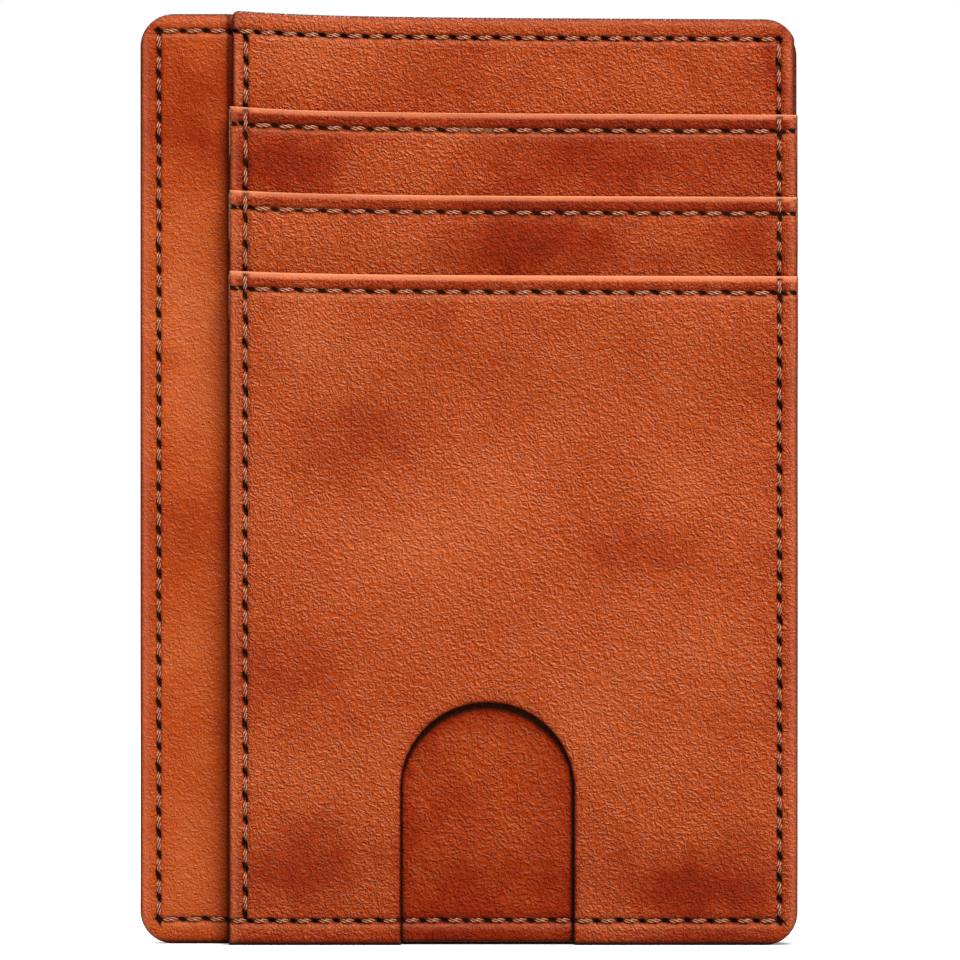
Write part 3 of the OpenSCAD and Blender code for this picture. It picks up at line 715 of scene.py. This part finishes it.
# ---- Window film ----
# A clear vinyl sheet, 0.2 mm thick, is sewn in behind the window and shows a card through it. It is
# a little rippled and scuffed, and its foot bends in towards the back panel, where it is sewn.
film_clear, tree, surface = plain_material("film_clear", (0.93, 0.95, 0.96), 0.06)
surface.inputs["Transmission Weight"].default_value = 1.0
surface.inputs["IOR"].default_value = 1.3
surface.inputs["Alpha"].default_value = 0.35
ripple = noise(tree, millimetres(tree), 0.12, 2.0)
scuffs = noise(tree, millimetres(tree), 2.2, 5.0, 0.7)
tree.links.new(spread(tree, scuffs, 0.5, 0.8, 0.02, 0.10), surface.inputs["Roughness"])
film_bump = wire(tree, "Bump", {"Strength": 0.3, "Distance": 0.3 * MM, "Height": ripple})
tree.links.new(film_bump.outputs[0], surface.inputs["Normal"])
FILM = 0.20              # thickness of the vinyl
FILM_CORNER = 3.2        # radius of its two lower corners
FILM_CELL = 1.2          # its mesh size
FILM_PATH = [(7, 0.32), (11, 0.72)]
low, high = corners_of("id_window_film")


def film_edge(x, z):
    """Distance in from the film's outline, which is rounded at its foot."""
    return -round_box(x, z, (low[0], low[2]), (high[0], ABOVE_ALL), FILM_CORNER)


bm = cut_hide((low[0], high[0]), (low[2], high[2]), film_edge, [], NO_LIP, cell=FILM_CELL)
x, z, side = np.array([v.co for v in bm.verts]).T
level = level_on(FILM_PATH, z) - FILM * side + 0.012 * swell(x, z, 5, 16, 40)
lay_sheet(bm, x, back_face + level, z)
film = add_piece("id_window_film_sheet", bm, film_clear)
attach(film, "root")
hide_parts("id_window_film")

# ---- Window frame ----
# The back pocket is one panel of 0.8 mm hide with a round-cornered window cut through it. The film
# is held by a row of stitches round the opening, and the lip is folded and topstitched.
PANEL = 0.8
PANEL_FOLD = (PANEL + FOLD_ROUND) / 2
WINDOW_LOW = (-24.0, 9.0)
WINDOW_HIGH = (24.0, 70.0)
WINDOW_CORNER = 4.0
WINDOW_SEAM_HALF = 32.5  # half the height of the seam round the window
UNFILLED = 9.0           # a filling level above any sheet, where a side is left as it is
FRAME_PATH = [(5, 0.35 + PANEL), (12, 0.75 + PANEL), (70, 0.75 + PANEL), (77, 1.30 + PANEL)]
strip_foot = corners_of("back_middle_strip")[0][2]
window_seam = [middle_of("id_window_thread", 2) - WINDOW_SEAM_HALF,
               middle_of("id_window_thread", 2) + WINDOW_SEAM_HALF]
window_x = corners_of("id_window_thread")[1][0] - THREAD_R
frame_seams = lip_row("id_frame_lip_thread", -half_w, -seam_x, middle_of("id_frame_lip_thread", 2))
frame_seams += [("perimeter_thread", "column", x, seam_low, pocket_lip, OUTER_PITCH)
                for x in (-seam_x, seam_x)]
frame_seams += [("perimeter_thread", "row", seam_low, -seam_x, seam_x, OUTER_PITCH)]
frame_seams += [("id_window_thread", "row", z, -window_x, window_x, INNER_PITCH)
                for z in window_seam]
frame_seams += [("id_window_thread", "column", x, *window_seam, INNER_PITCH)
                for x in (-window_x, window_x)]


def frame_edge(x, z):
    """Distance in from the frame's outline or out from its window, whichever is nearer."""
    return np.minimum(-wallet_outline(x, z), round_box(x, z, WINDOW_LOW, WINDOW_HIGH, WINDOW_CORNER))


def frame_filling(z):
    """Level that the frame's sewn sides are made up to: the back panel's rounded edge beside the
    film's foot, and the linings from there up to the middle strip."""
    return np.where(z < strip_foot - 0.6, -0.15 + 0.51 * ease(z, 10.3, 11), UNFILLED)


hide_piece(
    "id_frame_panel", tan_hide, (-half_w, half_w), 0, FRAME_PATH, back_face, 1,
    PANEL, frame_edge, frame_seams, lip=pocket_lip, fold=PANEL_FOLD, seed=31, rim=0.35,
    filled_to=frame_filling,
    spots=((-31, 30, 8, 18, 0.5), (32, 60, 7, 14, -0.5), (0, 4, 30, 4, -0.6)),
)

# ---- Cash facing ----
# A strip of smoother, finer-grained hide faces the mouth of the cash pocket. It is the left border
# that shows beside the front stack, sewn round its outer side and down its hidden inner side.
facing_hide = hide_leather("facing_hide", grain_size=0.50, relief=0.08, roughness=0.5, shift=0.03,
                           grained=0.65)
FACING_PLY = 0.6
INNER_SEAM_END = 5.5     # the hidden seam stops this far from the top and the foot
facing_low, facing_high = corners_of("cash_facing")
facing_seams = [
    ("perimeter_thread", "row", seam_high, -seam_x, stack_left, OUTER_PITCH),
    ("perimeter_thread", "row", seam_low, -seam_x, stack_left, OUTER_PITCH),
    ("perimeter_thread", "column", -seam_x, seam_low, seam_high, OUTER_PITCH),
    ("cash_facing_thread", "column", middle_of("cash_facing_thread", 0), INNER_SEAM_END,
     back_top - INNER_SEAM_END, INNER_PITCH),
]


def facing_edge(x, z):
    """Distance in from the facing's outline."""
    return -np.maximum(wallet_outline(x, z, back_top), x - facing_high[0])


def stack_painted_shadow(x, z):
    """Painted shadow that the front stack casts on the facing along its side."""
    beside = np.abs(x - stack_left)
    return 0.75 * np.exp(-beside / 0.5) + 0.35 * np.exp(-beside / 2.0)


hide_piece(
    "cash_facing", facing_hide, (facing_low[0], facing_high[0]), 0, [(0, 0)],
    -facing_low[1], -1, FACING_PLY, facing_edge, facing_seams, top=back_top, rim=0.4, seed=41,
    uneven=0.06, painted_shadow=stack_painted_shadow,
    spots=((-34, 74, 5, 16, 1.5), (-35, 100, 6, 9, -1.4), (-35, 50, 5, 8, -0.9),
           (-34, 38, 5, 8, 0.6), (-33, 10, 5, 9, 0.7), (-39, 55, 1.6, 60, -0.5)),
)

# ---- Front panel ----
# The front stack starts with its own full panel of 0.7 mm hide, turned over a board like the back
# one and sewn through the whole wallet. Only its top shows, above the upper slot's lip.
front_low, front_high = corners_of("front_backing_panel")
front_face = -front_low[1]
front_top = front_high[2]
edge_x = middle_of("front_edge_thread", 0)
PANEL_CORNER = 0.8       # radius of its two corners beside the cash facing
front_seams = [
    ("perimeter_thread", "row", seam_high, front_low[0] + 0.4, seam_x, OUTER_PITCH),
    ("perimeter_thread", "column", seam_x, upper_lip, seam_high, OUTER_PITCH),
    ("front_edge_thread", "column", edge_x, upper_lip, seam_high - COLUMN_GAP, INNER_PITCH),
]


def front_edge(x, z):
    """Distance in from the front panel's outline, whose outer corners are the wallet's own."""
    panel = round_box(x, z, (front_low[0], 0), (front_high[0], front_top), PANEL_CORNER)
    return -np.maximum(wallet_outline(x, z, front_top), panel)


hide_piece(
    "front_backing_panel", tan_hide, (front_low[0], front_high[0]), 0, [(0, 0)],
    front_face, -1, BACKING_PLY, front_edge, front_seams, top=front_top, turned=TURNED_PLY,
    rim=0.45, seed=51,
    # the two broadest spots darken the panel's top overall and towards its right
    spots=((-20, 108, 7, 4, 1.0), (20, 106, 12, 5, 0.5), (-27, 112, 3, 4, -0.6),
           (38, 106, 2, 8, -0.9), (2, 104, 8, 3, -0.3), (-5, 108, 60, 20, -0.3),
           (30, 107, 22, 12, -0.6)),
)

# ---- Front slot strips ----
# The two front slots are strips of 0.6 mm hide like the back ones, folded and topstitched at the lip
# and sewn at both sides. Dye has gathered dark in patches, and broad spots darken both to the right.
for node, thread, path, lip, below, seed, spots in (
    ("front_upper_strip", "front_upper_lip_thread", UPPER_PATH, upper_lip, middle_lip, 61,
     ((-22, 94.5, 6, 5, -1.6), (-8, 96, 7, 4, 0.4), (14, 96, 9, 5, -0.5), (34, 97, 5, 5, -0.5),
      (5, 96, 60, 20, -0.5), (25, 96, 22, 12, -0.5))),
    ("front_middle_strip", "front_middle_lip_thread", MIDDLE_PATH, middle_lip, pocket_lip, 62,
     ((7, 86, 9, 4.5, -1.8), (-22, 86, 6, 5, 0.4), (-7, 86, 5, 4, 0.4), (22, 85, 7, 4, 0.3),
      (36, 86, 4, 4, -0.7), (5, 86, 60, 20, -0.1), (28, 87, 16, 12, -0.5))),
):
    seams = lip_row(thread, stack_left, edge_x, middle_of(thread, 2))
    seams += [
        ("perimeter_thread", "column", seam_x, below, lip, OUTER_PITCH),
        ("front_edge_thread", "column", edge_x, below, lip, INNER_PITCH),
    ]
    hide_piece(
        node, tan_hide, (stack_left, half_w), corners_of(node)[0][2], path,
        front_face, -1, STRIP, lambda x, z: np.minimum(x - stack_left, half_w - x), seams,
        lip=lip, fold=STRIP_FOLD, seed=seed, spots=spots,
    )

# ---- Notch facing ----
# Behind the thumb notch lies a sheet of 0.5 mm split leather. It is matt and coarse, and the front
# card slides over it.
split_hide = hide_leather("split_hide", grain_size=0.60, relief=0.14, roughness=0.6, shift=-0.14,
                          grained=0.95)
SPLIT_PLY = 0.5
SPLIT_PATH = [(7, 0.05 + SPLIT_PLY), (11, 0.45 + SPLIT_PLY)]
NOTCH_X = 2.3            # middle of the thumb notch
NOTCH_R = 10.5
NOTCH_TOP = 29.5
split_low, split_high = corners_of("notch_facing")
middle_lining_foot = corners_of("front_middle_slot_lining")[0][2]


def notch_edge(x, z):
    """Distance out from the thumb notch's outline, negative inside the notch."""
    return round_box(x, z, (NOTCH_X - NOTCH_R, -60), (NOTCH_X + NOTCH_R, NOTCH_TOP), NOTCH_R)


def split_edge(x, z):
    """Distance in from the notch facing's outline."""
    return -np.maximum(wallet_outline(x, z), split_low[2] - z)


def split_filling(z):
    """Level that its sewn sides are made up to, below the foot of the lining behind it."""
    return np.where(z < middle_lining_foot - 0.2, -0.15, UNFILLED)


def notch_painted_shadow(x, z):
    """Painted shadow on the facing under the notch's cut edge, widest under its arch."""
    depth = np.maximum(-notch_edge(x, z), 0)
    reach = 0.3 + 0.8 * ease(z, 21, 29)
    return 1.1 * np.exp(-((depth / reach) ** 1.3)) + 0.3 * np.exp(-depth / 2.5)


notch_row = ("perimeter_thread", "row", seam_low, NOTCH_X - NOTCH_R, NOTCH_X + NOTCH_R,
             OUTER_PITCH)
hide_piece(
    "notch_facing", split_hide, (split_low[0], split_high[0]), split_low[2],
    SPLIT_PATH, front_face, -1, SPLIT_PLY, split_edge, [notch_row], top=split_high[2], seed=71,
    uneven=0.04, spots=((2, 25, 7, 4, 0.6), (2, 3, 11, 4, -0.7)), painted_shadow=notch_painted_shadow,
    filled_to=split_filling,
)

# ---- Front pocket ----
# The big card pocket is one panel of 0.8 mm hide with a thumb notch cut up from its foot. Its lip
# is folded and topstitched, and its other three sides are sewn through the whole wallet.
POCKET_PATH = [(4, 0.60 + PANEL), (13, 1.00 + PANEL), (40, 1.00 + PANEL), (60, 0.58 + PANEL),
               (64, 0.58 + PANEL), (77, 1.30 + PANEL)]
pocket_seams = lip_row("front_pocket_lip_thread", stack_left, edge_x,
                       middle_of("front_pocket_lip_thread", 2))
pocket_seams += [
    ("perimeter_thread", "column", seam_x, seam_low, pocket_lip, OUTER_PITCH),
    ("front_edge_thread", "column", edge_x, seam_low + COLUMN_GAP, pocket_lip, INNER_PITCH),
    ("perimeter_thread", "row", seam_low, stack_left, NOTCH_X - NOTCH_R, OUTER_PITCH),
    ("perimeter_thread", "row", seam_low, NOTCH_X + NOTCH_R, seam_x, OUTER_PITCH),
]


def pocket_edge(x, z):
    """Distance in from the pocket's outline or out from its thumb notch, whichever is nearer."""
    outline = -np.maximum(wallet_outline(x, z), stack_left - x)
    return np.minimum(outline, notch_edge(x, z))


def pocket_filling(z):
    """Level that its sewn sides are made up to, between the notch facing and the middle strip."""
    return np.where((z > split_high[2] + 0.3) & (z < strip_foot - 0.6), 0.36, UNFILLED)


hide_piece(
    "front_pocket_panel", tan_hide, (stack_left, half_w), 0, POCKET_PATH,
    front_face, -1, PANEL, pocket_edge, pocket_seams, lip=pocket_lip, fold=PANEL_FOLD, seed=81,
    rim=0.35, bulge=0.15, filled_to=pocket_filling,
    spots=((-20, 74, 7, 5, 0.9), (-5, 76, 7, 4, -0.3), (-13, 62, 9, 6, -0.8),
           (-5, 49, 12, 6, 1.2), (3, 57, 9, 6, 0.8), (26, 55, 6, 5, 0.7), (21, 47, 7, 4, -0.9),
           (30, 39, 6, 6, 0.7), (17, 28, 9, 7, 1.0), (-24, 32, 8, 8, -0.6), (-21, 21, 8, 4, 0.6),
           (-20, 10, 9, 5, -1.2), (28, 7, 9, 5, -1.6), (37, 40, 3, 40, -0.5),
           (-10, 3, 14, 3, -0.7)),
)

# ---- Thread ----
# Everything is sewn with bonded three-ply polyester, nearly 0.5 mm thick. Each stitch lies in the
# channel that it has pulled into the leather, and dives into a needle hole at either end.
thread_fibre, tree, surface = plain_material("thread_fibre", (0.42, 0.15, 0.09), 0.5)
PLIES = 3
ply_place = wire(tree, "SeparateXYZ", {0: wire(tree, "TexCoord").outputs["UV"]})
along_ply, across_ply = ply_place.outputs[0], ply_place.outputs[1]
# painted highlight on the crown of each ply and painted shade in the valleys between plies
ply_highlight_and_shade = maths(tree, "COSINE", maths(tree, "MULTIPLY", across_ply, 2 * math.pi * PLIES))
fuzz = noise(tree, millimetres(tree), 9.0, 3.0)
thread_tone_and_light = maths(tree, "MULTIPLY_ADD", ply_highlight_and_shade, 0.3, maths(tree, "MULTIPLY", fuzz, 0.9))
THREAD_SHADE_TO_HIGHLIGHT = ((0.15, (0.05, 0.011, 0.005)), (0.5, (0.32, 0.10, 0.042)),
                 (0.85, (0.84, 0.42, 0.26)))
# the ends of each stitch, where it dives into its hole, darken with dirt and painted shade
END_DIRT_AND_SHADE = (0.02, 0.005, 0.002, 1)
thread_colour = ramp(tree, thread_tone_and_light, THREAD_SHADE_TO_HIGHLIGHT)
from_middle = maths(tree, "ABSOLUTE", maths(tree, "SUBTRACT", along_ply, 0.5))
end_dirt_and_shade = spread(tree, from_middle, 0.26, 0.40)
thread_colour = mix(tree, end_dirt_and_shade, thread_colour, END_DIRT_AND_SHADE)
tree.links.new(thread_colour, surface.inputs["Base Color"])
surface.inputs["Specular IOR Level"].default_value = 0.25
RINGS = 12               # along a stitch
SIDES = 6                # round it
STITCH_R = 0.23          # from a stitch's middle to the top of a ply
PLY_TURN = 2.2           # one turn of the plies
DIVE = 0.62              # how deep a stitch's ends go into their holes
HOLE_GAP = 0.25          # a stitch is this much shorter than its step, for the turn at its ends


def sew(thread, stitches):
    """All the stitches of one thread: closed three-lobed tubes, twisted, with their ends sunk."""
    bm = bmesh.new()
    for number in range(len(stitches)):
        shift = Matrix.Translation((2 * number + 0.5, 0.5, 0))
        bmesh.ops.create_grid(bm, x_segments=RINGS, y_segments=SIDES, size=0.5, matrix=shift)
    uv = bm.loops.layers.uv.new("ply")
    for face in bm.faces:
        for loop in face.loops:
            middle = face.calc_center_median().x
            loop[uv].uv = (loop.vert.co.x - 2 * math.floor(middle / 2), loop.vert.co.y)
    u, v, _ = np.array([vert.co for vert in bm.verts]).T
    number = np.floor(u / 2 + 1e-4).astype(int)
    u = np.clip(u - 2 * number, 0, 1)
    start = np.array([s[0] for s in stitches])[number]
    end = np.array([s[1] for s in stitches])[number]
    facing = np.array([s[2] for s in stitches], float)[number]
    run = end - start
    length = np.linalg.norm(run, axis=1)
    ahead = run / length[:, None]
    out = np.stack([np.zeros_like(u), facing, np.zeros_like(u)], axis=1)
    side = np.cross(out, ahead)
    reach = (u - 0.5) * (length - HOLE_GAP)
    upright = np.abs(ahead[:, 2]) > 0.5
    dip_length = 1.15 + 0.3 * upright
    sunk = DIVE * ease(np.abs(reach), length / 2 - dip_length, length / 2 - HOLE_GAP) ** 1.3
    angle = 2 * math.pi * (v + facing * reach / PLY_TURN)
    lobe = STITCH_R * (0.76 + 0.24 * np.cos(2 * math.pi * PLIES * v))
    radius = lobe * np.sqrt(np.clip(1 - (2 * np.abs(u - 0.5)) ** 10, 0, 1))
    centre = (start + end) / 2 + ahead * reach[:, None] + out * (0.02 - sunk)[:, None]
    centre = centre + out * (radius * np.cos(angle))[:, None]
    centre = centre + side * (radius * np.sin(angle) + 0.06 * reach)[:, None]
    for vert, place in zip(bm.verts, centre * MM):
        vert.co = place
    bmesh.ops.remove_doubles(bm, verts=bm.verts, dist=1e-6)
    bmesh.ops.recalc_face_normals(bm, faces=bm.faces)
    piece = add_piece(thread + "_stitches", bm, thread_fibre)
    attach(piece, "root")
    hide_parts(thread)


for thread, stitches in sewing.items():
    sew(thread, stitches)
for node in ("front_middle_slot_thread", "front_upper_slot_thread", "back_middle_slot_thread",
             "back_upper_slot_thread"):
    dress(node, thread_fibre)
